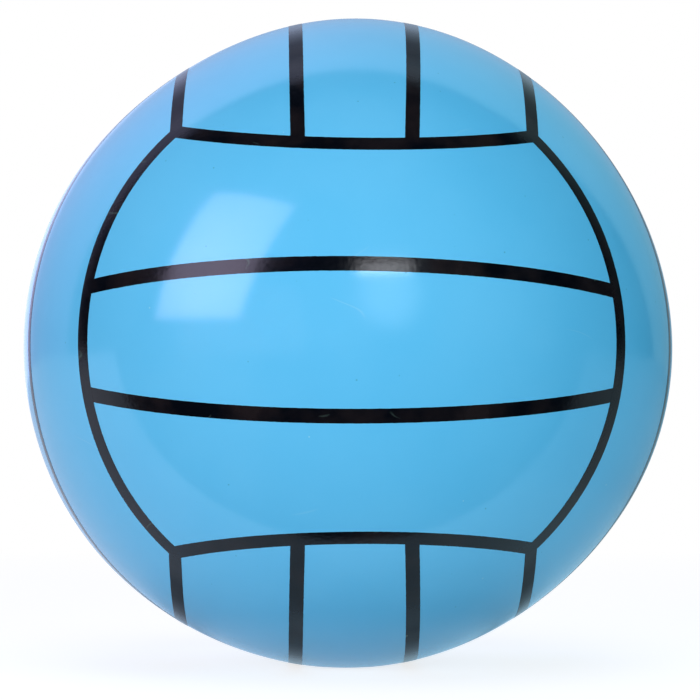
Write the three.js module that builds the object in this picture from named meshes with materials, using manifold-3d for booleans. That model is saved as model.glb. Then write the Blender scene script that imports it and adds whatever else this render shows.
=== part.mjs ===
// Inflated plastic play ball for water polo: one rotocast PVC skin, a soft valve seat bonded into it,
// a push-in stopper, and the black panel lines printed round the skin.
// Millimetres and degrees. Origin at the ball's centre, +Z up. The front of the print faces -Y, the
// valve faces +Y, and the ball stands on the small flat that its own weight presses under it.
import * as THREE from "three";
import { mergeVertices } from "three/addons/utils/BufferGeometryUtils.js";
import Module from "manifold-3d";

// Skin
const ballDiameter = 220;
const skinWall = 1.0;
const contactDepth = 0.6; // how far the standing ball flattens on a level floor
// Cuts along each edge of the icosahedron that the round skin starts from. With an odd number of them,
// points of the skin lie on the axes.
const skinDetail = 11;

// Print
const innerLineWidth = 4.8; // between the three strips of a face
const outerLineWidth = 5.2; // between one face and the next
const inkThickness = 0.3;
const lineStep = 6; // longest stretch between two sections of a line, degrees
// Three outer lines meet at each of eight corners, so far round from the front or back and up or down
const cornerTurn = 41.1;
const cornerRise = 37.6;
// Degrees from a face's middle to its inner and outer lines, where they pass closest to it. A line is
// the edge of a flat cut through the ball: innerLean tilts that cut, which bows the inner line.
const frontLines = { inner: 12.3, innerLean: 9.8, outer: 34.1 };
const sideLines = { inner: 14.0, innerLean: 20.0, outer: 38.0 };
const topLines = { inner: 10.2, innerLean: 1.9, outer: 31.5 };

// Stopper
const headDiameter = 9;
const headThickness = 1.4;
const headEdge = 0.4; // rounding of the head's rim
const ringCount = 3; // sealing rings, spread evenly along the shank
const ringWidth = 1.1;
const tipDiameter = 2.2;
const tipLength = 2.4;
const tipProud = 1.4; // how far the tip reaches past the end of the bore

// Valve seat
const boreDiameter = 4.4;
const stemWall = 2.6; // round the bore
const stemLength = 9; // inwards from the flange
const collarWall = 2.2; // round the recess for the stopper's head, flush with the outside of the skin
const flangeLip = 5.5; // width of the flange round the collar, bonded to the inside of the skin
const flangeThickness = 1.6;

const turnedSides = 24; // sides of everything round the valve's axis
const arcSteps = 3; // stretches along each rounded face of the seat

// Clearances
const seatGap = 0.3; // between pieces that are bonded or seated
const headGap = 0.8; // round the stopper's head, for a fingernail
const headSink = 0.1; // from the skin's outside down to the top of the head
const shankGap = 0.5; // round the shank, in the bore
const sealGap = 0.15; // round the shank's rings, in the bore
const lineGap = 0.35; // between printed lines that meet

const ballRadius = ballDiameter / 2;
const floorLevel = contactDepth - ballRadius;

// The skin is made of flats between points on its true round: they dip below it by this much at most.
// The first number is an icosahedron's edge over the distance of its faces from its centre.
const widestFlat = 1.323 / (skinDetail + 1);
const flatDip = (ballRadius * widestFlat ** 2) / 6;

// Radii about the valve's axis
const headRadius = headDiameter / 2;
const recessRadius = headRadius + headGap;
const collarRadius = recessRadius + collarWall;
const flangeRadius = collarRadius + flangeLip;
const boreRadius = boreDiameter / 2;
const stemRadius = boreRadius + stemWall;
const shankRadius = boreRadius - shankGap;
const ringRadius = boreRadius - sealGap;

// Levels along the valve's axis, from the ball's centre
const headTop = ballRadius - headSink;
const headBottom = headTop - headThickness;
const recessFloor = headBottom - seatGap;
const flangeOutside = ballRadius - skinWall - flatDip - seatGap;
const flangeInside = flangeOutside - flangeThickness;
const stemEnd = flangeInside - stemLength;
const tipEnd = stemEnd - tipProud;
const taperStart = tipEnd + tipLength;

const wasm = await Module();
wasm.setup();

// Solids from closed geometries, and back

function solidOf(geometry) {
  geometry.deleteAttribute("normal");
  geometry.deleteAttribute("uv");
  const merged = mergeVertices(geometry, 1e-4);
  return new wasm.Manifold(
    new wasm.Mesh({
      numProp: 3,
      vertProperties: new Float32Array(merged.attributes.position.array),
      triVerts: new Uint32Array(merged.index.array),
    }),
  );
}

function geometryOf(solid) {
  const made = solid.getMesh();
  const geometry = new THREE.BufferGeometry();
  geometry.setAttribute("position", new THREE.BufferAttribute(made.vertProperties, 3));
  geometry.setIndex(new THREE.BufferAttribute(made.triVerts, 1));
  return geometry;
}

// Skin: a round solid with a flat under it, hollowed by a smaller one, with the valve's hole

function flattenedBall(radius, flatLevel) {
  const ball = new THREE.IcosahedronGeometry(radius, skinDetail);
  const underside = new THREE.BoxGeometry(ballDiameter, ballDiameter, ballDiameter);
  underside.translate(0, 0, flatLevel - ballDiameter / 2);
  return solidOf(ball).subtract(solidOf(underside));
}

function ballSkin() {
  const outside = flattenedBall(ballRadius, floorLevel);
  const hollow = flattenedBall(ballRadius - skinWall, floorLevel + skinWall);
  const holeRadius = collarRadius + seatGap;
  const hole = new THREE.CylinderGeometry(holeRadius, holeRadius, ballRadius, turnedSides);
  hole.translate(0, ballRadius, 0);
  return geometryOf(outside.subtract(hollow).subtract(solidOf(hole)));
}

// Valve, turned about +Y

// An arc about the ball's centre, from one distance off the valve's axis to another
function ballArc(arcRadius, fromOffset, toOffset) {
  return Array.from({ length: arcSteps + 1 }, (_, i) => {
    const offset = THREE.MathUtils.lerp(fromOffset, toOffset, i / arcSteps);
    return new THREE.Vector2(offset, Math.sqrt(arcRadius ** 2 - offset ** 2));
  });
}

function valveSeat() {
  const profile = [
    new THREE.Vector2(recessRadius, recessFloor),
    new THREE.Vector2(boreRadius, recessFloor),
    new THREE.Vector2(boreRadius, stemEnd),
    new THREE.Vector2(stemRadius, stemEnd),
    ...ballArc(flangeInside, stemRadius, flangeRadius),
    ...ballArc(flangeOutside, flangeRadius, collarRadius),
    ...ballArc(ballRadius, collarRadius, recessRadius),
    new THREE.Vector2(recessRadius, recessFloor),
  ];
  return new THREE.LatheGeometry(profile, turnedSides);
}

function valveStopper() {
  const profile = [
    new THREE.Vector2(0, tipEnd),
    new THREE.Vector2(tipDiameter / 2, tipEnd),
    new THREE.Vector2(shankRadius, taperStart),
  ];
  for (let ring = 1; ring <= ringCount; ring += 1) {
    const middle = THREE.MathUtils.lerp(taperStart, headBottom, ring / (ringCount + 1));
    profile.push(new THREE.Vector2(shankRadius, middle - ringWidth / 2));
    profile.push(new THREE.Vector2(ringRadius, middle));
    profile.push(new THREE.Vector2(shankRadius, middle + ringWidth / 2));
  }
  profile.push(new THREE.Vector2(shankRadius, headBottom));
  profile.push(new THREE.Vector2(headRadius, headBottom));
  profile.push(new THREE.Vector2(headRadius, headTop - headEdge));
  profile.push(new THREE.Vector2(headRadius - headEdge, headTop));
  profile.push(new THREE.Vector2(0, headTop));
  return new THREE.LatheGeometry(profile, turnedSides);
}

// Print. Everything down to the lines' sections is worked out on a ball of radius 1.

const cornerTurned = THREE.MathUtils.degToRad(cornerTurn);
const cornerRisen = THREE.MathUtils.degToRad(cornerRise);
const corner = new THREE.Vector3(
  Math.cos(cornerRisen) * Math.sin(cornerTurned),
  Math.cos(cornerRisen) * Math.cos(cornerTurned),
  Math.sin(cornerRisen),
);

// Opposite faces carry the same lines. Each pair has the axis that it faces along, the axis that its
// strips run along and the axis that they lie across, and a name for either way along the first and
// the last of these.
const axes = {
  x: new THREE.Vector3(1, 0, 0),
  y: new THREE.Vector3(0, 1, 0),
  z: new THREE.Vector3(0, 0, 1),
};
const facePairs = [
  {
    lines: frontLines,
    out: "y",
    along: "x",
    across: "z",
    faces: { back: 1, front: -1 },
    sides: { upper: 1, lower: -1 },
  },
  {
    lines: sideLines,
    out: "x",
    along: "z",
    across: "y",
    faces: { right: 1, left: -1 },
    sides: { back: 1, front: -1 },
  },
  {
    lines: topLines,
    out: "z",
    along: "y",
    across: "x",
    faces: { top: 1, bottom: -1 },
    sides: { right: 1, left: -1 },
  },
];

// A line's middle is the edge of a flat cut through the ball. The cut's normal points away from the
// middle of the line's own face, and polar is the angle between the normal and the line.
function lineCut(pair, face, side, isOuter) {
  const out = axes[pair.out].clone().multiplyScalar(face);
  const across = axes[pair.across].clone().multiplyScalar(side);
  const angle = THREE.MathUtils.degToRad(isOuter ? pair.lines.outer : pair.lines.inner);
  const nearest = across.clone().multiplyScalar(Math.sin(angle)).addScaledVector(out, Math.cos(angle));
  // An outer line's cut also goes through the two corners that it joins
  const lean = isOuter
    ? Math.atan((Math.sin(angle) - corner[pair.across]) / (Math.cos(angle) - corner[pair.out]))
    : THREE.MathUtils.degToRad(pair.lines.innerLean);
  const normal = across.clone().multiplyScalar(Math.cos(lean)).addScaledVector(out, -Math.sin(lean));
  const polar = Math.acos(normal.dot(nearest));
  const towards = nearest.clone().addScaledVector(normal, -Math.cos(polar)).normalize();
  return { normal, polar, towards, along: axes[pair.along] };
}

// A point beside a line's middle: offset is its distance over the skin, away from the middle of the
// face, and turn is how far round the cut it lies from where the line passes closest to that middle
function pointBeside(cut, offset, turn) {
  const polar = cut.polar - offset / ballRadius;
  return cut.normal
    .clone()
    .multiplyScalar(Math.cos(polar))
    .addScaledVector(cut.towards, Math.sin(polar) * Math.cos(turn))
    .addScaledVector(cut.along, Math.sin(polar) * Math.sin(turn));
}

// The turn at which the round beside one line first crosses the round beside another
function turnAtCrossing(cut, offset, other, otherOffset) {
  const polar = cut.polar - offset / ballRadius;
  const otherPolar = other.polar - otherOffset / ballRadius;
  const reach = Math.cos(otherPolar) - Math.cos(polar) * cut.normal.dot(other.normal);
  const towardsShare = Math.sin(polar) * cut.towards.dot(other.normal);
  const alongShare = Math.sin(polar) * cut.along.dot(other.normal);
  const middle = Math.atan2(alongShare, towardsShare);
  const swing = Math.acos(reach / Math.hypot(alongShare, towardsShare));
  return middle - swing > 0 ? middle - swing : middle + swing;
}

// How far round its cut one edge of a line, or its middle, goes before it ends: offset says which.
// An inner line stops short of the outer line that it runs into. An outer line ends in a point at the
// corner, between the two others that meet it there about a third of a turn apart.
function endOfEdge(pair, face, side, isOuter, offset) {
  const cut = lineCut(pair, face, side, isOuter);
  const faceAtEnd = facePairs.find((other) => other.out === pair.along);
  const lineAtEnd = lineCut(faceAtEnd, 1, face, true);
  const halfOuter = outerLineWidth / 2;
  if (!isOuter) return turnAtCrossing(cut, offset, lineAtEnd, halfOuter + lineGap);

  const faceBeside = facePairs.find((other) => other.out === pair.across);
  const lineBeside = lineCut(faceBeside, side, 1, true);
  const shortening = lineGap / Math.sqrt(3) / (ballRadius * Math.sin(cut.polar));
  if (offset > 0) return turnAtCrossing(cut, offset, lineBeside, -halfOuter) - shortening;
  return turnAtCrossing(cut, offset, lineAtEnd, offset < 0 ? halfOuter : 0) - shortening;
}

// One line as a thin strip with two edges and a middle, and with both its ends alike
function printedLine(pair, face, side, isOuter) {
  const cut = lineCut(pair, face, side, isOuter);
  const halfWidth = (isOuter ? outerLineWidth : innerLineWidth) / 2;
  const edges = [-halfWidth, 0, halfWidth].map((offset) => ({
    offset,
    end: endOfEdge(pair, face, side, isOuter, offset),
  }));
  // Seen from outside, the strip's sections follow each other the same way round on every face
  const handedness = axes[pair.along].clone().cross(axes[pair.across]).dot(axes[pair.out]);
  if (handedness * face * side < 0) edges.reverse();

  const insideRadius = ballRadius + seatGap;
  const longestEnd = Math.max(...edges.map((edge) => edge.end));
  const stepCount = Math.ceil((2 * THREE.MathUtils.radToDeg(longestEnd)) / lineStep);
  const sections = Array.from({ length: stepCount + 1 }, (_, i) => {
    const share = THREE.MathUtils.lerp(-1, 1, i / stepCount);
    const points = edges.map((edge) => pointBeside(cut, edge.offset, share * edge.end));
    const outside = points.map((point) => point.clone().multiplyScalar(insideRadius + inkThickness));
    const inside = points.map((point) => point.clone().multiplyScalar(insideRadius));
    return [...outside, ...inside.reverse()];
  });
  return stripOf(sections);
}

// A closed strip through sections of six points: three outside, then three inside on the way back.
// Each end is closed by two flats, one on either side of the strip's middle.
function stripOf(sections) {
  const size = sections[0].length;
  const last = (sections.length - 1) * size;
  const index = [];
  for (let start = 0; start < last; start += size) {
    for (let i = 0; i < size; i += 1) {
      const next = (i + 1) % size;
      index.push(start + i, start + size + i, start + size + next);
      index.push(start + i, start + size + next, start + next);
    }
  }
  const endFlats = [
    [0, 1, 4],
    [0, 4, 5],
    [1, 2, 3],
    [1, 3, 4],
  ];
  for (const [a, b, c] of endFlats) {
    index.push(a, b, c);
    index.push(last + a, last + c, last + b);
  }
  const geometry = new THREE.BufferGeometry().setFromPoints(sections.flat());
  geometry.setIndex(index);
  return geometry;
}

const skinPlastic = new THREE.MeshStandardMaterial({ color: 0x5fbef0, roughness: 0.18, metalness: 0 });
const seatPlastic = new THREE.MeshStandardMaterial({ color: 0x5fbef0, roughness: 0.4, metalness: 0 });
const stopperPlastic = new THREE.MeshStandardMaterial({ color: 0xf1f1ec, roughness: 0.35, metalness: 0 });
const blackInk = new THREE.MeshStandardMaterial({ color: 0x0b0d12, roughness: 0.4, metalness: 0 });

const ball = new THREE.Group();

function addPiece(name, geometry, material) {
  const piece = new THREE.Mesh(geometry, material);
  piece.name = name;
  ball.add(piece);
}

addPiece("ball_skin", ballSkin(), skinPlastic);
addPiece("valve_seat", valveSeat(), seatPlastic);
addPiece("valve_stopper", valveStopper(), stopperPlastic);
for (const pair of facePairs) {
  for (const [faceName, face] of Object.entries(pair.faces)) {
    for (const [sideName, side] of Object.entries(pair.sides)) {
      addPiece(`${faceName}_${sideName}_inner_line`, printedLine(pair, face, side, false), blackInk);
      addPiece(`${faceName}_${sideName}_outer_line`, printedLine(pair, face, side, true), blackInk);
    }
  }
}

export default ball;
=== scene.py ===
import math

import bpy
from mathutils import Matrix, Vector


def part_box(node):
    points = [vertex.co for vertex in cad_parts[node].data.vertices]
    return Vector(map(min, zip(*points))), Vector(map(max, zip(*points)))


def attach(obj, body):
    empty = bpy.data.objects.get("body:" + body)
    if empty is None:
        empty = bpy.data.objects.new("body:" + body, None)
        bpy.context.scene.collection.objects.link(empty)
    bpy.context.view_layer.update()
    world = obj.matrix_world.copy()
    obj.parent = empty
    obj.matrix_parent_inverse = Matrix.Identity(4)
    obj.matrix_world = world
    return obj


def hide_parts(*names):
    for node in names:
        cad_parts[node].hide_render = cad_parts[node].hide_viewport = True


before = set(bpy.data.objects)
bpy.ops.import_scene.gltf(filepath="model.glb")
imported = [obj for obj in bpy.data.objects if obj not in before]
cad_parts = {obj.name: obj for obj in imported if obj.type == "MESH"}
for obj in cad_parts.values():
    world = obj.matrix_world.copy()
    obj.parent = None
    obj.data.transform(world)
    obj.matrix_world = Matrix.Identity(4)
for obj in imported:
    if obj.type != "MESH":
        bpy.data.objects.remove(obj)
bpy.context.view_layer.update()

# Inflated plastic play ball: glossy light blue skin, black printed panel lines and, at the back, a
# push-in stopper. Metres, in the solids' own frame: origin at the ball's centre, front of the
# print to -Y, valve to +Y.

ballRadius = 0.110
print("stage: frame loaded")


# Modelling by hand

modelling = {
    "firstPlane": 0.001,  # a chain starts as a plane of this size, merged to one vertex
    "sameSpot": 0.000002,  # points closer than this are merged
    "sharpAngle": 40,  # degrees between faces past which an edge stays sharp
    "roundSteps": 3,
}


def nothingSelected():
    if bpy.context.object and bpy.context.object.mode != "OBJECT":
        bpy.ops.object.mode_set(mode="OBJECT")
    bpy.ops.object.select_all(action="DESELECT")


def onlySelected(piece):
    nothingSelected()
    piece.select_set(True)
    bpy.context.view_layer.objects.active = piece


def nameLast(name):
    piece = bpy.context.object
    piece.name = name
    piece.data.name = name
    return piece


def drawChain(name, points):
    # one vertex, extruded from point to point
    nothingSelected()
    bpy.ops.mesh.primitive_plane_add(size=modelling["firstPlane"])
    piece = nameLast(name)
    bpy.ops.object.mode_set(mode="EDIT")
    bpy.ops.mesh.select_mode(type="VERT")
    bpy.ops.mesh.select_all(action="SELECT")
    bpy.ops.mesh.merge(type="CENTER")
    bpy.ops.transform.translate(value=points[0])
    for here, there in zip(points, points[1:]):
        bpy.ops.mesh.extrude_region_move(TRANSFORM_OT_translate={"value": there - here})
    return piece


def spinChain(steps, angle, axis):
    # turns the chain that is being edited about an axis through the ball's centre
    bpy.ops.mesh.select_all(action="SELECT")
    bpy.ops.mesh.spin(steps=steps, angle=angle, center=(0, 0, 0), axis=axis)
    bpy.ops.mesh.select_all(action="SELECT")
    bpy.ops.mesh.remove_doubles(threshold=modelling["sameSpot"])


def selectWhere(piece, kind, isWanted):
    # selects the vertices, edges or faces that a test of the mesh element picks
    bpy.ops.object.mode_set(mode="EDIT")
    bpy.ops.mesh.select_mode(type=kind)
    bpy.ops.mesh.select_all(action="DESELECT")
    bpy.ops.object.mode_set(mode="OBJECT")
    mesh = piece.data
    parts = {"VERT": mesh.vertices, "EDGE": mesh.edges, "FACE": mesh.polygons}[kind]
    for part in parts:
        part.select = isWanted(part)
    bpy.ops.object.mode_set(mode="EDIT")


def applyModifier(piece, kind, **values):
    modifier = piece.modifiers.new(kind.title(), kind)
    for name, value in values.items():
        setattr(modifier, name, value)
    onlySelected(piece)
    bpy.ops.object.modifier_apply(modifier=modifier.name)


def smoothFaces(piece):
    onlySelected(piece)
    bpy.ops.object.shade_smooth_by_angle(angle=math.radians(modelling["sharpAngle"]))


def finishPiece(piece, material, body, slot, *nodes):
    piece.data.materials.clear()
    piece.data.materials.append(material)
    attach(piece, body)
    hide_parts(*nodes)


# The real ball is a little out of round, most at its outline seen from the front, and its front
# print sits a little out of register. Each swelling has a height in metres, and a turn in degrees
# that shifts its lobes round.

asInflated = {
    "oval": {"lobes": 2, "height": 0.00061, "turn": -85},
    "threeSided": {"lobes": 3, "height": 0.00046, "turn": 98},
    "fourSided": {"lobes": 4, "height": 0.00062, "turn": 27},
    "fiveSided": {"lobes": 5, "height": 0.00024, "turn": -9},
    "sixSided": {"lobes": 6, "height": 0.00016, "turn": 151},
}
evenness = 6  # how fast the swellings fade towards the front and the back
asPrinted = {
    "narrowed": 0.00104,  # the sides of the front come in by this much
    "squared": 0.0068,  # and go out above and below the middle, so that they are straighter
    "shoved": -0.0004,  # all of it sits a little to the left
    "bowed": 0.0018,  # its top and bottom stand to the right of its middle
    "spread": 0.0009,  # its upper and lower lines stand further apart
    "slanted": 0.0005,  # its right side hangs lower
    "fanned": 0.0027,  # its left side spreads, its right side closes up
    "splayed": 0.0060,  # its upper corners stand further apart
    "fadesFrom": 0.0,  # shares of the radius towards the back, over which all that fades away
    "fadesTo": 0.6,
    "sidesTurned": 0.0025,  # the strips on the left side come forward, on the right they go back
    "sidesDrawnBack": 0.004,  # and their upper and lower ends go back
    "lowerLeftForward": 0.006,  # and low on the left side they come forward more
    "sidesReach": 0.45,  # share of the radius, to the front and the back, where that has faded
}


def inflated(point):
    way = point.normalized()
    turn = math.atan2(way.z, way.x)
    swell = sum(
        shape["height"] * math.cos(shape["lobes"] * turn + math.radians(shape["turn"]))
        for shape in asInflated.values()
    )
    return point * (1 + swell / ballRadius * (1 - way.y ** 2) ** (evenness / 2))


def outOfRegister(point):
    way = point.normalized()
    share = (asPrinted["fadesTo"] - way.y) / (asPrinted["fadesTo"] - asPrinted["fadesFrom"])
    share = max(0, min(1, share))
    share = share * share * (3 - 2 * share)
    narrowed = asPrinted["narrowed"] - asPrinted["squared"] * way.z ** 2 * (1 - way.z ** 2)
    sideways = asPrinted["shoved"] - narrowed * way.x + asPrinted["bowed"] * way.z ** 2
    upwards = -(asPrinted["slanted"] + asPrinted["fanned"] * way.z) * way.x
    upwards += asPrinted["spread"] * way.z * (1 - way.z ** 2)
    sideways += asPrinted["splayed"] * way.x ** 3 * max(0, way.z) ** 2
    sideShare = max(0, 1 - (way.y / asPrinted["sidesReach"]) ** 2) ** 2
    backwards = asPrinted["sidesTurned"] * way.x + asPrinted["sidesDrawnBack"] * way.z ** 2
    backwards *= way.x ** 4
    backwards -= asPrinted["lowerLeftForward"] * max(0, -way.x) * max(0, -way.z)
    moved = point + Vector((sideways * share, backwards * sideShare, upwards * share))
    return moved.normalized() * point.length


def reshape(piece, *changes):
    for vertex in piece.data.vertices:
        for change in changes:
            vertex.co = change(vertex.co)


# Materials: every pattern is read from Object coordinates

def newMaterial(name):
    material = bpy.data.materials.new(name)
    material.use_nodes = True
    tree = material.node_tree
    place = tree.nodes.new("ShaderNodeTexCoord").outputs["Object"]
    return material, tree, tree.nodes["Principled BSDF"], place


def addNode(tree, kind, inputs=None, **values):
    node = tree.nodes.new(kind)
    for name, value in values.items():
        setattr(node, name, value)
    for name, value in (inputs or {}).items():
        if isinstance(value, bpy.types.NodeSocket):
            tree.links.new(value, node.inputs[name])
        else:
            node.inputs[name].default_value = value
    return node


def noiseOf(tree, place, scale, detail=2.0, roughness=0.5):
    inputs = {"Vector": place, "Scale": scale, "Detail": detail, "Roughness": roughness}
    return addNode(tree, "ShaderNodeTexNoise", inputs).outputs["Fac"]


def remap(tree, value, fromLow, fromHigh, toLow=0, toHigh=1):
    inputs = {
        "Value": value,
        "From Min": fromLow,
        "From Max": fromHigh,
        "To Min": toLow,
        "To Max": toHigh,
    }
    return addNode(tree, "ShaderNodeMapRange", inputs).outputs["Result"]


def calculate(tree, operation, *values):
    inputs = dict(enumerate(values))
    return addNode(tree, "ShaderNodeMath", inputs, operation=operation).outputs["Value"]


def multiply(tree, one, other):
    return calculate(tree, "MULTIPLY", one, other)


def add(tree, one, other):
    return calculate(tree, "ADD", one, other)


def measure(tree, operation, *vectors):
    inputs = dict(enumerate(vectors))
    return addNode(tree, "ShaderNodeVectorMath", inputs, operation=operation).outputs["Value"]


def mixValues(tree, share, one, other):
    return addNode(tree, "ShaderNodeMix", {0: share, 2: one, 3: other}).outputs[0]


def mixColours(tree, share, one, other):
    inputs = {0: share, 6: one, 7: other}
    return addNode(tree, "ShaderNodeMix", inputs, data_type="RGBA").outputs[2]


pattern = {
    "noiseReach": (0.3, 0.7),  # nearly all values of a noise lie between these
    "noiseMiddle": (0.35, 0.65),  # and most between these
    "speckCore": 0.6,  # the share of a speck's radius inside which it is at its full strength
    "streakStretch": (1.0, 0.8, 3.2),  # streaks run mostly level
    "streakPatches": 2.3,  # how much finer the patches are in which they show
    "patchEdge": 0.06,
}


def specksOf(tree, place, perMetre, radius, share, strength):
    # dots of one size with a soft edge, in a share of the cells
    cells = addNode(tree, "ShaderNodeTexVoronoi", {"Vector": place, "Scale": perMetre}).outputs
    edge = (radius * perMetre * pattern["speckCore"], radius * perMetre)
    dot = remap(tree, cells["Distance"], *edge, 1, 0)
    draw = addNode(tree, "ShaderNodeSeparateColor", {"Color": cells["Color"]}).outputs["Red"]
    kept = calculate(tree, "LESS_THAN", draw, share)
    return multiply(tree, multiply(tree, dot, kept), strength)


def streaksOf(tree, place, perMetre, width, rarity):
    # thin bent hairlines: where a stretched noise passes through its middle, in a few patches only
    inputs = {"Vector": place, "Scale": pattern["streakStretch"]}
    stretched = addNode(tree, "ShaderNodeMapping", inputs).outputs["Vector"]
    field = noiseOf(tree, stretched, perMetre, detail=1, roughness=0.4)
    fromMiddle = calculate(tree, "ABSOLUTE", calculate(tree, "SUBTRACT", field, 0.5))
    line = remap(tree, fromMiddle, 0, width, 1, 0)
    patch = noiseOf(tree, place, perMetre * pattern["streakPatches"], detail=1)
    patch = remap(tree, patch, rarity, rarity + pattern["patchEdge"])
    return multiply(tree, line, patch)


def bumpOf(tree, height, distance, before=None):
    inputs = {"Height": height, "Distance": distance, "Strength": 1.0}
    if before:
        inputs["Normal"] = before
    return addNode(tree, "ShaderNodeBump", inputs).outputs["Normal"]


gloss = {
    "blue": (0.104, 0.528, 0.880, 1),
    "paleBlue": (0.118, 0.548, 0.900, 1),
    "mottlePerMetre": 24,
    "speckBlue": (0.030, 0.250, 0.430, 1),
    "darkSpecks": {"perMetre": 150, "radius": 0.00036, "share": 0.40, "strength": 0.50},
    "fineSpecks": {"perMetre": 260, "radius": 0.00022, "share": 0.30, "strength": 0.30},
    "dustBlue": (0.400, 0.760, 0.940, 1),
    "lightSpecks": {"perMetre": 123, "radius": 0.00032, "share": 0.30, "strength": 0.50},
    "scuffs": {"perMetre": 13, "width": 0.004, "rarity": 0.66},
    "scuffStrength": 0.20,
    "scuffed": 0.10,  # what a scuff adds to the roughness
    "roughness": (0.10, 0.15),
    "handledPerMetre": 60,  # how finely the roughness changes
    "wavesPerMetre": 26,
    "waves": 0.00004,
    "peelPerMetre": 700,
    "peel": 0.0000012,
    "refraction": 1.5,
}


def makeGloss():
    material, tree, shader, place = newMaterial("gloss_blue_plastic")
    mottle = noiseOf(tree, place, gloss["mottlePerMetre"], detail=4)
    mottle = remap(tree, mottle, *pattern["noiseMiddle"])
    colour = mixColours(tree, mottle, gloss["blue"], gloss["paleBlue"])
    darkSpecks = specksOf(tree, place, **gloss["darkSpecks"])
    colour = mixColours(tree, darkSpecks, colour, gloss["speckBlue"])
    fineSpecks = specksOf(tree, place, **gloss["fineSpecks"])
    colour = mixColours(tree, fineSpecks, colour, gloss["speckBlue"])
    lightSpecks = specksOf(tree, place, **gloss["lightSpecks"])
    colour = mixColours(tree, lightSpecks, colour, gloss["dustBlue"])
    scuffs = streaksOf(tree, place, **gloss["scuffs"])
    paleScuffs = multiply(tree, scuffs, gloss["scuffStrength"])
    colour = mixColours(tree, paleScuffs, colour, gloss["dustBlue"])
    tree.links.new(colour, shader.inputs["Base Color"])
    handled = noiseOf(tree, place, gloss["handledPerMetre"], detail=5, roughness=0.6)
    handled = remap(tree, handled, *pattern["noiseReach"], *gloss["roughness"])
    rough = add(tree, handled, multiply(tree, scuffs, gloss["scuffed"]))
    tree.links.new(rough, shader.inputs["Roughness"])
    waves = noiseOf(tree, place, gloss["wavesPerMetre"], detail=2)
    waves = bumpOf(tree, waves, gloss["waves"])
    peel = noiseOf(tree, place, gloss["peelPerMetre"], detail=1)
    peel = bumpOf(tree, peel, gloss["peel"], waves)
    tree.links.new(peel, shader.inputs["Normal"])
    shader.inputs["IOR"].default_value = gloss["refraction"]
    return material


inkLook = {
    "black": (0.0015, 0.0025, 0.0050, 1),
    "worn": (0.0120, 0.0095, 0.0110, 1),
    "wornPerMetre": 55,
    "wornFrom": (0.45, 0.70),  # values of the noise, over which black turns worn
    "scratch": (0.050, 0.085, 0.075, 1),
    "scratches": {"perMetre": 29, "width": 0.009, "rarity": 0.62},
    "scratchStrength": 0.7,
    "fleck": (0.34, 0.42, 0.26, 1),
    "flecks": {"perMetre": 170, "radius": 0.00034, "share": 0.10, "strength": 0.8},
    "roughness": (0.13, 0.21),
    "slantRoughness": 0.58,  # seen at a slant, the pigment makes the film dull
    "dulls": (0.42, 0.58),  # slants, from 0 face on to 1 edge on, over which it grows dull
    "shinesAgain": (0.66, 0.84),  # and over which its shine comes back
    "glossOfInk": 0.34,
    "grainPerMetre": 900,
    "grainDepth": 0.00003,
}


def makeInk():
    material, tree, shader, place = newMaterial("printed_black_ink")
    worn = noiseOf(tree, place, inkLook["wornPerMetre"], detail=4, roughness=0.6)
    worn = remap(tree, worn, *inkLook["wornFrom"])
    colour = mixColours(tree, worn, inkLook["black"], inkLook["worn"])
    scratches = streaksOf(tree, place, **inkLook["scratches"])
    scratches = multiply(tree, scratches, inkLook["scratchStrength"])
    colour = mixColours(tree, scratches, colour, inkLook["scratch"])
    flecks = specksOf(tree, place, **inkLook["flecks"])
    colour = mixColours(tree, flecks, colour, inkLook["fleck"])
    tree.links.new(colour, shader.inputs["Base Color"])
    grain = noiseOf(tree, place, inkLook["grainPerMetre"], detail=2, roughness=0.6)
    rough = remap(tree, grain, *pattern["noiseReach"], *inkLook["roughness"])
    slant = addNode(tree, "ShaderNodeLayerWeight", {"Blend": 0.5}).outputs["Facing"]
    dull = remap(tree, slant, *inkLook["dulls"])
    dull = multiply(tree, dull, remap(tree, slant, *inkLook["shinesAgain"], 1, 0))
    rough = mixValues(tree, dull, rough, inkLook["slantRoughness"])
    tree.links.new(rough, shader.inputs["Roughness"])
    tree.links.new(bumpOf(tree, grain, inkLook["grainDepth"]), shader.inputs["Normal"])
    shader.inputs["Specular IOR Level"].default_value = inkLook["glossOfInk"]
    return material


satin = {
    "seatBlue": (0.085, 0.500, 0.850, 1),
    "seatPale": (0.110, 0.560, 0.900, 1),
    "stopperWhite": (0.84, 0.84, 0.80, 1),
    "stopperGrey": (0.74, 0.74, 0.70, 1),
    "seatRoughness": (0.28, 0.38),
    "stopperRoughness": (0.30, 0.42),
    "cloudsPerMetre": 260,
    "grainPerMetre": 3800,
    "grainDepth": 0.000006,
}


def makeSatin(name, colour, otherColour, roughness):
    material, tree, shader, place = newMaterial(name)
    clouds = noiseOf(tree, place, satin["cloudsPerMetre"], detail=3)
    clouds = remap(tree, clouds, *pattern["noiseMiddle"])
    tree.links.new(mixColours(tree, clouds, colour, otherColour), shader.inputs["Base Color"])
    grain = noiseOf(tree, place, satin["grainPerMetre"], detail=2)
    rough = remap(tree, grain, *pattern["noiseReach"], *roughness)
    tree.links.new(rough, shader.inputs["Roughness"])
    tree.links.new(bumpOf(tree, grain, satin["grainDepth"]), shader.inputs["Normal"])
    return material


glossBlue = makeGloss()
blackInk = makeInk()
satinBlue = makeSatin(
    "satin_blue_plastic", satin["seatBlue"], satin["seatPale"], satin["seatRoughness"],
)
satinWhite = makeSatin(
    "satin_white_plastic", satin["stopperWhite"], satin["stopperGrey"], satin["stopperRoughness"],
)
print("stage: materials made")


# Skin: a ball with its poles on the valve's axis, a round hole at the back and a flat underneath

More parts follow.
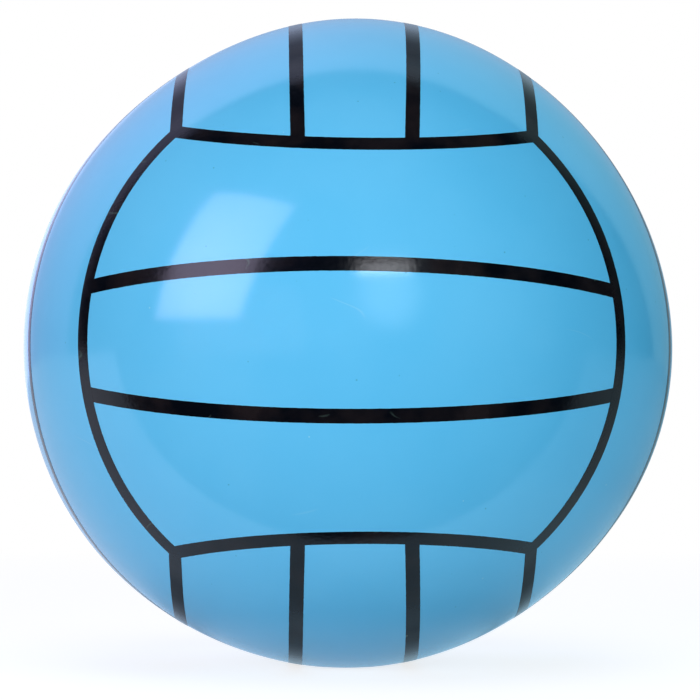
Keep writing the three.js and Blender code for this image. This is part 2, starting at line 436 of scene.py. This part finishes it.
skin = {
    "wall": 0.001,
    "segments": 256,
    "rings": 128,
    "floorLevel": -0.1094,
    "holeRadius": 0.00762,
    "holeEdge": 0.00025,
    "edgeSlack": 0.00002,  # how exactly the hole's outer edge is found again
}


def modelSkin():
    nothingSelected()
    bpy.ops.mesh.primitive_uv_sphere_add(
        segments=skin["segments"],
        ring_count=skin["rings"],
        radius=ballRadius,
        rotation=(math.radians(90), 0, 0),
    )
    piece = nameLast("skin")
    bpy.ops.object.transform_apply(location=False, rotation=True, scale=False)

    # the hole for the valve
    holeLevel = math.sqrt(ballRadius ** 2 - skin["holeRadius"] ** 2)
    bpy.ops.object.mode_set(mode="EDIT")
    bpy.ops.mesh.select_mode(type="VERT")
    bpy.ops.mesh.select_all(action="SELECT")
    bpy.ops.mesh.bisect(plane_co=(0, holeLevel, 0), plane_no=(0, 1, 0), clear_outer=True)

    # the flat that the ball stands on
    bpy.ops.object.mode_set(mode="OBJECT")
    reshape(piece, inflated)
    selectWhere(piece, "VERT", lambda vertex: vertex.co.z < skin["floorLevel"])
    bpy.ops.transform.resize(value=(1, 1, 0), center_override=(0, 0, skin["floorLevel"]))

    applyModifier(piece, "SOLIDIFY", thickness=skin["wall"], offset=-1, use_even_offset=True)

    # a small round on the hole's outer edge
    points = piece.data.vertices

    def isOuterEdge(edge):
        return all(abs(points[i].co.y - holeLevel) < skin["edgeSlack"] for i in edge.vertices)

    selectWhere(piece, "EDGE", isOuterEdge)
    bpy.ops.mesh.bevel(offset=skin["holeEdge"], segments=modelling["roundSteps"], affect="EDGES")
    smoothFaces(piece)
    return piece


finishPiece(modelSkin(), glossBlue, "ball", "skin", "ball_skin")
print("stage: skin made")


# Valve, turned about +Y: an outline of (distance from the axis, level from the ball's centre)

valve = {
    "sides": 72,
    "roundStart": 35,  # degrees between faces past which an edge is rounded
    "recessRadius": 0.0053,
    "collarRadius": 0.0075,
    "flangeRadius": 0.0130,
    "flangeOutside": 0.10848,
    "flangeInside": 0.10688,
    "recessFloor": 0.1082,
    "boreRadius": 0.0022,
    "leadIn": 0.0004,
    "stemRadius": 0.0048,
    "stemTaper": 0.0004,
    "stemEnd": 0.09788,
    "edgeRound": 0.00022,
    "insideSteps": 6,  # faces along the flange's inside, its outside and the collar's top
    "outsideSteps": 5,
    "collarSteps": 3,
}


def turnPiece(name, outline):
    piece = drawChain(name, [Vector((away, level, 0)) for away, level in outline])
    spinChain(valve["sides"], math.tau, (0, 1, 0))
    bpy.ops.mesh.normals_make_consistent(inside=False)
    return piece


def roundEdges(piece, width):
    applyModifier(
        piece, "BEVEL", width=width, segments=modelling["roundSteps"], limit_method="ANGLE",
        angle_limit=math.radians(valve["roundStart"]), use_clamp_overlap=True,
    )
    smoothFaces(piece)


def ballArc(radius, fromAway, toAway, steps):
    # a stretch of the ball's own round, between two distances from the valve's axis
    aways = [fromAway + (toAway - fromAway) * i / steps for i in range(steps + 1)]
    return [(away, math.sqrt(radius ** 2 - away ** 2)) for away in aways]


def modelSeat():
    outline = [
        (valve["recessRadius"], valve["recessFloor"]),
        (valve["boreRadius"] + valve["leadIn"], valve["recessFloor"]),
        (valve["boreRadius"], valve["recessFloor"] - valve["leadIn"]),
        (valve["boreRadius"], valve["stemEnd"]),
        (valve["stemRadius"] - valve["stemTaper"], valve["stemEnd"]),
        *ballArc(
            valve["flangeInside"], valve["stemRadius"], valve["flangeRadius"],
            valve["insideSteps"],
        ),
        *ballArc(
            valve["flangeOutside"], valve["flangeRadius"], valve["collarRadius"],
            valve["outsideSteps"],
        ),
        *ballArc(
            ballRadius, valve["collarRadius"], valve["recessRadius"], valve["collarSteps"],
        ),
        (valve["recessRadius"], valve["recessFloor"]),
    ]
    piece = turnPiece("valve_seat_insert", outline)
    roundEdges(piece, valve["edgeRound"])
    return piece


stopper = {
    "headRadius": 0.0045,
    "headTop": 0.1099,
    "headBottom": 0.1085,
    "rimWidth": 0.0007,
    "dish": 0.00035,
    "nubRadius": 0.0007,
    "nubFoot": 1.3,  # how many times wider its foot is
    "nubRise": 0.00020,
    "shankRadius": 0.0017,
    "ringRadius": 0.00205,
    "ringWidth": 0.0011,
    "ringCount": 3,
    "ringTurns": range(-90, 91, 30),  # degrees, over a ring's round back
    "tipRadius": 0.0011,
    "tipEnd": 0.09648,
    "tipLength": 0.0024,
    "edgeRound": 0.00018,
}


def modelStopper():
    taperStart = stopper["tipEnd"] + stopper["tipLength"]
    outline = [(0, stopper["tipEnd"]), (stopper["tipRadius"], stopper["tipEnd"])]
    outline += [(stopper["shankRadius"], taperStart)]
    # sealing rings with a round back
    for ring in range(1, stopper["ringCount"] + 1):
        share = ring / (stopper["ringCount"] + 1)
        middle = taperStart + (stopper["headBottom"] - taperStart) * share
        for turn in stopper["ringTurns"]:
            proud = (stopper["ringRadius"] - stopper["shankRadius"]) * math.cos(math.radians(turn))
            level = middle + stopper["ringWidth"] / 2 * math.sin(math.radians(turn))
            outline.append((stopper["shankRadius"] + proud, level))
    rimInside = stopper["headRadius"] - stopper["rimWidth"]
    outline += [
        (stopper["shankRadius"], stopper["headBottom"]),
        (stopper["headRadius"], stopper["headBottom"]),
        (stopper["headRadius"], stopper["headTop"]),
        (rimInside, stopper["headTop"]),
        (rimInside - stopper["dish"], stopper["headTop"] - stopper["dish"]),
        (stopper["nubRadius"] * stopper["nubFoot"], stopper["headTop"] - stopper["dish"]),
        (stopper["nubRadius"], stopper["headTop"] - stopper["dish"] + stopper["nubRise"]),
        (0, stopper["headTop"] - stopper["dish"] + stopper["nubRise"]),
    ]
    piece = turnPiece("valve_stopper_plug", outline)
    roundEdges(piece, stopper["edgeRound"])
    return piece


finishPiece(modelSeat(), satinBlue, "ball", "seat", "valve_seat")
finishPiece(modelStopper(), satinWhite, "stopper", "stopper", "valve_stopper")
print("stage: valve made")


# Printed lines. Each follows the edge of a flat cut through the ball: a band of ink spun about the
# cut's normal. The inner and outer lines of a face pass its middle at so many degrees from it.

axes = {"x": Vector((1, 0, 0)), "y": Vector((0, 1, 0)), "z": Vector((0, 0, 1))}
facePairs = [
    {
        "lines": {"inner": 12.3, "innerLean": 9.8, "outer": 34.1}, "outerWidth": 0.0048,
        "out": "y", "along": "x", "across": "z",
        "faces": {"back": 1, "front": -1}, "sides": {"upper": 1, "lower": -1},
    },
    {
        "lines": {"inner": 14.0, "innerLean": 20.0, "outer": 38.0}, "outerWidth": 0.0052,
        "out": "x", "along": "z", "across": "y",
        "faces": {"right": 1, "left": -1}, "sides": {"back": 1, "front": -1},
    },
    {
        "lines": {"inner": 10.2, "innerLean": 1.9, "outer": 31.5}, "outerWidth": 0.0047,
        "out": "z", "along": "y", "across": "x",
        "faces": {"top": 1, "bottom": -1}, "sides": {"right": 1, "left": -1},
    },
]
ink = {
    "innerWidth": 0.00465,
    "cornerTurn": 41.1,  # degrees to where three outer lines meet: round from the back, and up
    "cornerRise": 37.6,
    "proud": 0.00006,  # outside of the film over the skin
    "film": 0.0001,  # its inside is just under the skin's surface
    "innerSink": 0.00002,  # an inner line runs in under the outer one at each end
    "tuckedIn": 0.0010,
    "overrun": 4,  # degrees that a band runs on before its ends are trimmed
    "step": 0.0008,  # the length of a band's faces, and how many lie side by side
    "across": 6,
    "ragged": 0.00005,  # how far its edge strays
    "seed": 11,
    "worthTelling": 0.002,  # a line that lies further off its node is named in the output
}
cornerTurn, cornerRise = math.radians(ink["cornerTurn"]), math.radians(ink["cornerRise"])
corner = Vector((
    math.cos(cornerRise) * math.sin(cornerTurn),
    math.cos(cornerRise) * math.cos(cornerTurn),
    math.sin(cornerRise),
))


def pairFacing(axis):
    return next(pair for pair in facePairs if pair["out"] == axis)


def lineCut(pair, face, side, isOuter):
    out, across = axes[pair["out"]] * face, axes[pair["across"]] * side
    angle = math.radians(pair["lines"]["outer" if isOuter else "inner"])
    nearest = across * math.sin(angle) + out * math.cos(angle)
    lean = math.radians(pair["lines"]["innerLean"])
    if isOuter:  # its cut also goes through the two corners that it joins
        cornerOut, cornerAcross = corner.dot(axes[pair["out"]]), corner.dot(axes[pair["across"]])
        lean = math.atan((math.sin(angle) - cornerAcross) / (math.cos(angle) - cornerOut))
    normal = across * math.cos(lean) - out * math.sin(lean)
    polar = math.acos(normal.dot(nearest))
    towards = (nearest - normal * math.cos(polar)).normalized()
    return {"normal": normal, "polar": polar, "towards": towards, "along": axes[pair["along"]]}


def pointBeside(cut, offset, turn):
    polar = cut["polar"] - offset / ballRadius
    ring = cut["towards"] * math.cos(turn) + cut["along"] * math.sin(turn)
    return cut["normal"] * math.cos(polar) + ring * math.sin(polar)


def turnAtCrossing(cut, offset, other, otherOffset):
    # how far round one line's edge it first crosses another line's edge
    polar = cut["polar"] - offset / ballRadius
    otherPolar = other["polar"] - otherOffset / ballRadius
    reach = math.cos(otherPolar) - math.cos(polar) * cut["normal"].dot(other["normal"])
    towardsShare = math.sin(polar) * cut["towards"].dot(other["normal"])
    alongShare = math.sin(polar) * cut["along"].dot(other["normal"])
    middle = math.atan2(alongShare, towardsShare)
    swing = math.acos(reach / math.hypot(alongShare, towardsShare))
    return middle - swing if middle - swing > 0 else middle + swing


def endPlanes(pair, isOuter):
    # (point, normal) of each flat that trims a line's far end; the normal points to what is kept
    cut = lineCut(pair, 1, 1, isOuter)
    pairAtEnd, pairBeside = pairFacing(pair["along"]), pairFacing(pair["across"])
    half, halfAtEnd, halfBeside = (each["outerWidth"] / 2 for each in (pair, pairAtEnd, pairBeside))
    lineAtEnd = lineCut(pairAtEnd, 1, 1, True)
    if not isOuter:
        polar = lineAtEnd["polar"] - (halfAtEnd - ink["tuckedIn"]) / ballRadius
        return [(lineAtEnd["normal"] * math.cos(polar) * ballRadius, lineAtEnd["normal"])]
    lineBeside = lineCut(pairBeside, 1, 1, True)
    meetings = [
        pointBeside(cut, half, turnAtCrossing(cut, half, lineBeside, -halfBeside)),
        pointBeside(cut, -half, turnAtCrossing(cut, -half, lineAtEnd, halfAtEnd)),
    ]
    middle = pointBeside(cut, 0, 0)
    planes = []
    for meeting in meetings:
        normal = corner.cross(meeting).normalized()
        planes.append((Vector(), normal if normal.dot(middle) > 0 else -normal))
    return planes


def modelLine(name, pair, isOuter):
    cut = lineCut(pair, 1, 1, isOuter)
    half = (pair["outerWidth"] if isOuter else ink["innerWidth"]) / 2
    offsets = [half * (2 * i / ink["across"] - 1) for i in range(ink["across"] + 1)]
    lineAtEnd = lineCut(pairFacing(pair["along"]), 1, 1, True)
    reach = turnAtCrossing(cut, 0, lineAtEnd, 0) + math.radians(ink["overrun"])
    isRightHanded = cut["normal"].cross(cut["towards"]).dot(cut["along"]) > 0
    start = reach if isRightHanded else -reach
    piece = drawChain(name, [pointBeside(cut, offset, start) * ballRadius for offset in offsets])
    steps = math.ceil(2 * reach * math.sin(cut["polar"]) * ballRadius / ink["step"])
    spinChain(steps, 2 * reach, cut["normal"])

    # edges as a printing pad leaves them
    bpy.ops.mesh.region_to_loop()
    bpy.ops.transform.vertex_random(offset=ink["ragged"], uniform=0, normal=0, seed=ink["seed"])

    # both ends are trimmed alike
    mirrored = Matrix.Diagonal([-1 if axis == pair["along"] else 1 for axis in "xyz"])
    for place, normal in endPlanes(pair, isOuter):
        for flip in (Matrix.Identity(3), mirrored):
            towardsEnd = flip @ cut["along"]
            selectWhere(piece, "FACE", lambda face: face.center.dot(towardsEnd) > 0)
            bpy.ops.mesh.bisect(plane_co=flip @ place, plane_no=flip @ normal, clear_inner=True)

    bpy.ops.object.mode_set(mode="OBJECT")
    if sum(face.normal.dot(face.center) for face in piece.data.polygons) < 0:
        bpy.ops.object.mode_set(mode="EDIT")
        bpy.ops.mesh.select_all(action="SELECT")
        bpy.ops.mesh.flip_normals()
    outside = ballRadius + ink["proud"] - (0 if isOuter else ink["innerSink"])
    applyModifier(
        piece, "CAST", cast_type="SPHERE", factor=1, size=outside, use_radius_as_size=False,
    )
    applyModifier(piece, "SOLIDIFY", thickness=ink["film"], offset=-1)
    smoothFaces(piece)
    return piece


def turnedCopy(piece, name, axis):
    onlySelected(piece)
    bpy.ops.object.duplicate()
    copy = nameLast(name)
    copy.rotation_euler = axes[axis] * math.pi
    bpy.ops.object.transform_apply(location=False, rotation=True, scale=False)
    return copy


def printLines(pair, isOuter):
    kind = "outer" if isOuter else "inner"
    first, made = None, []
    for faceName, face in pair["faces"].items():
        for sideName, side in pair["sides"].items():
            node = f"{faceName}_{sideName}_{kind}_line"
            name = f"ink_{faceName}_{sideName}_{kind}"
            if first is None:
                first = modelLine(name, pair, isOuter)
                piece = first
            else:
                axis = pair["out"] if face > 0 else pair["across"] if side > 0 else pair["along"]
                piece = turnedCopy(first, name, axis)
            made.append((piece, node))
    for piece, node in made:
        reshape(piece, outOfRegister, inflated)
        finishPiece(piece, blackInk, "ball", "ink", node)
        checkPlace(piece, node)


def checkPlace(piece, node):
    low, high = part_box(node)
    corners = [Vector(point) for point in piece.bound_box]
    pieceLow = Vector([min(point[i] for point in corners) for i in range(3)])
    pieceHigh = Vector([max(point[i] for point in corners) for i in range(3)])
    apart = max((pieceLow - low).length, (pieceHigh - high).length)
    if apart > ink["worthTelling"]:
        print(f"{piece.name} lies {apart * 1000:.1f} mm off its node")


for pair in facePairs:
    printLines(pair, False)
    printLines(pair, True)
print("stage: lines printed")


# Camera: a long lens from the front, very slightly from the left and from below the ball's middle

camera = {
    "from": (-0.0243, -1.0, -0.0143),
    "distance": 1.1,
    "imageSize": 700,
    "focalPixels": 3213,
    "sensorWidth": 36,  # millimetres
    "ballMiddle": (347.5, 344.7),  # where the ball's centre lies in the image, in pixels
}


def placeCamera():
    data = bpy.data.cameras.new("camera")
    cameraObject = bpy.data.objects.new("camera", data)
    bpy.context.scene.collection.objects.link(cameraObject)
    back = Vector(camera["from"]).normalized()
    cameraObject.location = back * camera["distance"]
    cameraObject.rotation_euler = (-back).to_track_quat("-Z", "Y").to_euler()
    data.sensor_width = camera["sensorWidth"]
    data.lens = data.sensor_width * camera["focalPixels"] / camera["imageSize"]
    half = camera["imageSize"] / 2
    data.shift_x = (half - camera["ballMiddle"][0]) / camera["imageSize"]
    data.shift_y = (camera["ballMiddle"][1] - half) / camera["imageSize"]
    bpy.context.scene.camera = cameraObject


placeCamera()


# Stage: a white light table that ends under the front of the ball as far as the gloss can see

white = (1, 1, 1, 1)
black = (0, 0, 0, 1)
whiteLevel = 1.0
stage = {
    "tableEdge": -0.105,
    "tableReach": 4.0,
    "tableGap": 0.00005,  # so that the table and the ball's flat don't share a plane
    "paper": (0.45, 0.45, 0.45, 1),
    "lightBelow": 0.13,  # the light that comes up through the paper
    "shineBelow": 0.58,  # and as the gloss sees it
    "shineLeft": (0.84, 1, 1.30, 1),
    "shineRight": (0.36, 0.92, 1.05, 1),
    "leftEnd": -0.15,  # between these the gloss of the left turns into that of the right
    "rightEnd": 0.25,
    "dimFrom": 0.08,  # and between these it grows dim
    "dimTo": 0.22,
    "dimmest": 0.36,
    "shadeInside": (0.119, 0.125),  # distances from the ball's centre, of the ring where the ball's shadow is painted into what the gloss sees
    "shadeOutside": (0.129, 0.150),
    "shaded": 0.55,  # what the painted shade leaves
    "shownPaper": (0.42, 0.42, 0.42, 1),  # the paper and the light that the camera sees
    "shownBelow": 0.78,
    "whiteFrom": 0.30,  # distances over which the table turns plain white for the camera
    "whiteTo": 0.80,
}


def makeTable():
    material = bpy.data.materials.new("white_table")
    material.use_nodes = True
    material.cycles.emission_sampling = "NONE"
    tree = material.node_tree
    tree.nodes.clear()
    seenBy = tree.nodes.new("ShaderNodeLightPath").outputs
    place = addNode(tree, "ShaderNodeTexCoord").outputs["Object"]
    away = measure(tree, "LENGTH", place)
    sideways = addNode(tree, "ShaderNodeSeparateXYZ", {"Vector": place}).outputs["X"]
    whiter = remap(tree, away, stage["whiteFrom"], stage["whiteTo"])
    far = multiply(tree, seenBy["Is Camera Ray"], whiter)

    # what the gloss sees: the ball's shadow painted as a darker ring round it, and dimmer to the
    # right
    full, shaded = stage["shineBelow"], stage["shineBelow"] * stage["shaded"]
    inner = remap(tree, away, *stage["shadeInside"], full, shaded)
    outer = remap(tree, away, *stage["shadeOutside"], shaded, full)
    dim = remap(tree, sideways, stage["dimFrom"], stage["dimTo"], 1, stage["dimmest"])
    shine = multiply(tree, calculate(tree, "MAXIMUM", inner, outer), dim)
    across = remap(tree, sideways, stage["leftEnd"], stage["rightEnd"])
    shineTint = mixColours(tree, across, stage["shineLeft"], stage["shineRight"])

    level = mixValues(tree, seenBy["Is Glossy Ray"], stage["lightBelow"], shine)
    level = mixValues(tree, seenBy["Is Camera Ray"], level, stage["shownBelow"])
    level = mixValues(tree, far, level, whiteLevel)
    tint = mixColours(tree, seenBy["Is Glossy Ray"], white, shineTint)
    light = addNode(tree, "ShaderNodeEmission", {"Color": tint, "Strength": level})
    colour = mixColours(tree, seenBy["Is Camera Ray"], stage["paper"], stage["shownPaper"])
    colour = mixColours(tree, far, colour, black)
    paper = addNode(tree, "ShaderNodeBsdfDiffuse", {"Color": colour})
    both = addNode(tree, "ShaderNodeAddShader", {0: paper.outputs[0], 1: light.outputs[0]})
    addNode(tree, "ShaderNodeOutputMaterial", {"Surface": both.outputs[0]})
    return material


def placeTable(name, fromY, toY, material):
    nothingSelected()
    height = skin["floorLevel"] - stage["tableGap"]
    bpy.ops.mesh.primitive_plane_add(size=1, location=(0, (fromY + toY) / 2, height))
    table = nameLast(name)
    table.scale = (2 * stage["tableReach"], toY - fromY, 1)
    bpy.ops.object.transform_apply(location=True, rotation=True, scale=True)
    table.data.materials.append(material)
    return table


tableWhite = makeTable()
placeTable("table", stage["tableEdge"], stage["tableReach"], tableWhite)
tableFront = placeTable("table_front", -stage["tableReach"], stage["tableEdge"], tableWhite)
tableFront.visible_glossy = False


# Studio: a dark room with a big white screen behind and over the ball, a brighter stretch of it
# straight behind and a weak glow beside the camera. What shines from the left is brighter and more
# violet, and what shines from the right is greener.

studio = {
    "leftTint": (0.88, 0.92, 1.50, 1),
    "rightTint": (0.44, 0.74, 0.80, 1),
    "tintTurns": (-0.5, 0.5),  # where a direction's x is between these, one turns into the other
    "screenFrom": 0.445,  # the screen is where a direction's y is more than this
    "rightIsLater": 0.35,  # and low on the right it begins later by this share of x
    "laterUpTo": 0.8,
    "overheadIsSooner": 0.12,  # and overhead sooner by this share of z
    "screenSoftness": 0.02,
    "screenLow": 0.46,  # its level at the ball's height, and overhead
    "screenHigh": 1.25,
    "lowTo": 0.05,
    "highFrom": 0.90,
    "glow": 2.4,
    "glowFrom": (0.226, -0.937, 0.266),
    "glowWide": 14,  # degrees from its middle to its edge
    "rim": 0.9,  # the brighter stretch straight behind, which the ball's left edge shows
    "rimFrom": (-0.24, 0.97, 0.02),
    "rimWide": 17,
}


def lampGlow(tree, way, direction, wide, strength):
    inputs = {
        "Value": measure(tree, "DOT_PRODUCT", way, Vector(direction).normalized()),
        "From Min": math.cos(math.radians(wide)),
        "From Max": 1.0,
        "To Max": strength,
    }
    fade = addNode(tree, "ShaderNodeMapRange", inputs, interpolation_type="SMOOTHSTEP")
    return fade.outputs["Result"]


def makeStudio():
    world = bpy.data.worlds.new("studio")
    bpy.context.scene.world = world
    world.use_nodes = True
    tree = world.node_tree
    tree.nodes.clear()
    way = addNode(tree, "ShaderNodeTexCoord").outputs["Generated"]
    parts = addNode(tree, "ShaderNodeSeparateXYZ", {"Vector": way}).outputs

    # the screen: where it begins, and its level from the ball's height up to overhead
    later = remap(tree, parts["X"], 0, 1, 0, -studio["rightIsLater"])
    later = multiply(tree, later, remap(tree, parts["Z"], 0, studio["laterUpTo"], 1, 0))
    sooner = remap(tree, parts["Z"], 0, 1, 0, studio["overheadIsSooner"])
    edge = add(tree, parts["Y"], add(tree, later, sooner))
    middle, soft = studio["screenFrom"], studio["screenSoftness"]
    isScreen = remap(tree, edge, middle - soft, middle + soft)
    rise = (studio["lowTo"], studio["highFrom"], studio["screenLow"], studio["screenHigh"])
    level = multiply(tree, isScreen, remap(tree, parts["Z"], *rise))

    glow = lampGlow(tree, way, studio["glowFrom"], studio["glowWide"], studio["glow"])
    rim = lampGlow(tree, way, studio["rimFrom"], studio["rimWide"], studio["rim"])
    level = add(tree, add(tree, level, glow), rim)
    turn = remap(tree, parts["X"], *studio["tintTurns"])
    tint = mixColours(tree, turn, studio["leftTint"], studio["rightTint"])
    isCamera = tree.nodes.new("ShaderNodeLightPath").outputs["Is Camera Ray"]
    inputs = {
        "Color": mixColours(tree, isCamera, tint, white),
        "Strength": mixValues(tree, isCamera, level, whiteLevel),
    }
    light = addNode(tree, "ShaderNodeBackground", inputs)
    addNode(tree, "ShaderNodeOutputWorld", {"Surface": light.outputs[0]})


# Each lamp's level is the radiance of its face: white paper in full light is 1
lamps = {
    "strip_light": {
        "place": (0.30, -1.43, 0.67), "across": (0.974, 0.226, 0), "up": (-0.096, 0.417, 0.904),
        "size": (0.50, 0.085), "level": 14, "colour": (0.92, 0.94, 1), "seenIn": "glossy",
    },
    "key_light": {
        "place": (-0.93, -1.20, 0.20), "across": (0.79, -0.61, 0), "up": (0, 0, 1),
        "size": (1.2, 0.6), "level": 6.0, "colour": (1.12, 0.91, 0.91), "seenIn": "diffuse",
    },
    "front_light": {
        "place": (0, -1.60, 0.15), "across": (1, 0, 0), "up": (0, 0, 1),
        "size": (1.2, 0.5), "level": 2.15, "colour": (0.90, 1, 0.96), "seenIn": "diffuse",
    },
    "right_light": {
        "place": (1.20, -1.00, 0.30), "across": (0.64, 0.77, 0), "up": (0, 0, 1),
        "size": (1.2, 1.2), "level": 1.97, "colour": (0.70, 1, 1), "seenIn": "diffuse",
    },
    "top_light": {
        "place": (0, -0.50, 1.50), "across": (1, 0, 0), "up": (0, 0.95, 0.32),
        "size": (1.2, 1.2), "level": 1.50, "colour": (1.10, 1, 1.04), "seenIn": "diffuse",
    },
}


def placeLamp(name, facts):
    data = bpy.data.lights.new(name, "AREA")
    data.shape = "RECTANGLE"
    data.size, data.size_y = facts["size"]
    data.energy = facts["level"] * math.pi * data.size * data.size_y
    data.color = facts["colour"]
    lamp = bpy.data.objects.new(name, data)
    bpy.context.scene.collection.objects.link(lamp)
    across = Vector(facts["across"]).normalized()
    back = across.cross(Vector(facts["up"])).normalized()
    lamp.location = facts["place"]
    lamp.rotation_euler = Matrix((across, back.cross(across), back)).transposed().to_euler()
    lamp.visible_diffuse = facts["seenIn"] == "diffuse"
    lamp.visible_glossy = facts["seenIn"] == "glossy"


# The big soft box at the upper left hangs askew and is brightest low in its middle. Only the gloss
# sees it. Corners and distances in metres.
softBox = {
    "lowLeft": (-1.19, -0.47, 0.15),
    "lowRight": (-0.79, -1.03, 0.17),
    "highLeft": (-0.81, -0.40, 0.91),
    "highRight": (-0.37, -0.84, 0.92),
    "brightest": (-0.86, -0.72, 0.42),
    "level": 6.0,
    "fadeFrom": 0.15,
    "fadeTo": 0.62,
    "atItsEdge": 0.60,
    "tint": (0.78, 0.70, 1, 1),
}


def placeSoftBox():
    nothingSelected()
    bpy.ops.mesh.primitive_plane_add(size=1)
    box = nameLast("soft_box")
    for vertex, place in zip(box.data.vertices, ("lowLeft", "lowRight", "highLeft", "highRight")):
        vertex.co = softBox[place]
    material = bpy.data.materials.new("soft_box")
    material.use_nodes = True
    tree = material.node_tree
    tree.nodes.clear()
    place = addNode(tree, "ShaderNodeTexCoord").outputs["Object"]
    away = measure(tree, "DISTANCE", place, softBox["brightest"])
    high, low = softBox["level"], softBox["level"] * softBox["atItsEdge"]
    level = remap(tree, away, softBox["fadeFrom"], softBox["fadeTo"], high, low)
    light = addNode(tree, "ShaderNodeEmission", {"Color": softBox["tint"], "Strength": level})
    addNode(tree, "ShaderNodeOutputMaterial", {"Surface": light.outputs[0]})
    box.data.materials.append(material)
    for kind in ("camera", "diffuse", "transmission", "volume_scatter", "shadow"):
        setattr(box, "visible_" + kind, False)


placeSoftBox()
makeStudio()
for lampName, lampFacts in lamps.items():
    placeLamp(lampName, lampFacts)
bpy.context.scene.view_settings.view_transform = "Standard"
print("stage: camera, table and lights placed")
